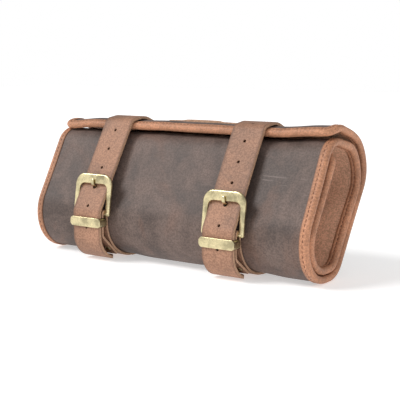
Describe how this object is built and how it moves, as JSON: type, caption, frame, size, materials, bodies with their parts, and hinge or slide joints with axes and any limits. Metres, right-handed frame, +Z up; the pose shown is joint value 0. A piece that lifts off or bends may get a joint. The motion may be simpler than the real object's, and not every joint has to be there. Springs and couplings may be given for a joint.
{
  "type": "brush roll case",
  "caption": "Rolled leather brush case with bound edges, closed by two buckled straps, with a small carrying handle on its flap",
  "frame": {"origin": "centre of the footprint, on the surface the roll stands on", "axes": "+X along the roll, -Y towards the buckled front, +Z up"},
  "size_m": [0.305, 0.1266, 0.134],
  "materials": {
    "dark_leather": "matt",
    "lining_leather": "matt",
    "tan_leather": "satin",
    "strap_leather": "satin",
    "brass": "antique"
  },
  "bodies": {
    "roll": {"outer_skin": "dark_leather", "lining": "lining_leather", "pocket_panel": "lining_leather", "pocket_welt": "tan_leather", "binding_left": "tan_leather", "binding_right": "tan_leather", "binding_flap": "tan_leather", "binding_leaf": "tan_leather", "strap_left": "strap_leather", "strap_right": "strap_leather", "billet_left": "strap_leather", "billet_right": "strap_leather", "billet_rivets": "brass", "back_rivets": "brass", "handle": "tan_leather"},
    "frame_left": {"frame_left": "brass"},
    "frame_right": {"frame_right": "brass"},
    "prong_left": {"prong_left": "brass"},
    "prong_right": {"prong_right": "brass"},
    "keeper_left": {"keeper_left": "brass"},
    "keeper_right": {"keeper_right": "brass"}
  },
  "joints": [
    {"name": "frame_swing_left", "type": "hinge", "parent": "roll", "child": "frame_left", "pos_m": [-0.076, -0.0539, 0.0455], "axis": [1, 0, 0], "range_deg": [0, 3]},
    {"name": "prong_lift_left", "type": "hinge", "parent": "frame_left", "child": "prong_left", "pos_m": [-0.076, -0.0539, 0.0455], "axis": [1, 0, 0], "range_deg": [0, 1.5]},
    {"name": "keeper_slide_left", "type": "slide", "parent": "roll", "child": "keeper_left", "axis": [0, 0, -1], "range_m": [0, 0.005]},
    {"name": "frame_swing_right", "type": "hinge", "parent": "roll", "child": "frame_right", "pos_m": [0.072, -0.0539, 0.0415], "axis": [1, 0, 0], "range_deg": [0, 3]},
    {"name": "prong_lift_right", "type": "hinge", "parent": "frame_right", "child": "prong_right", "pos_m": [0.072, -0.0539, 0.0415], "axis": [1, 0, 0], "range_deg": [0, 1.5]},
    {"name": "keeper_slide_right", "type": "slide", "parent": "roll", "child": "keeper_right", "axis": [0, 0, -1], "range_m": [0, 0.005]}
  ]
}
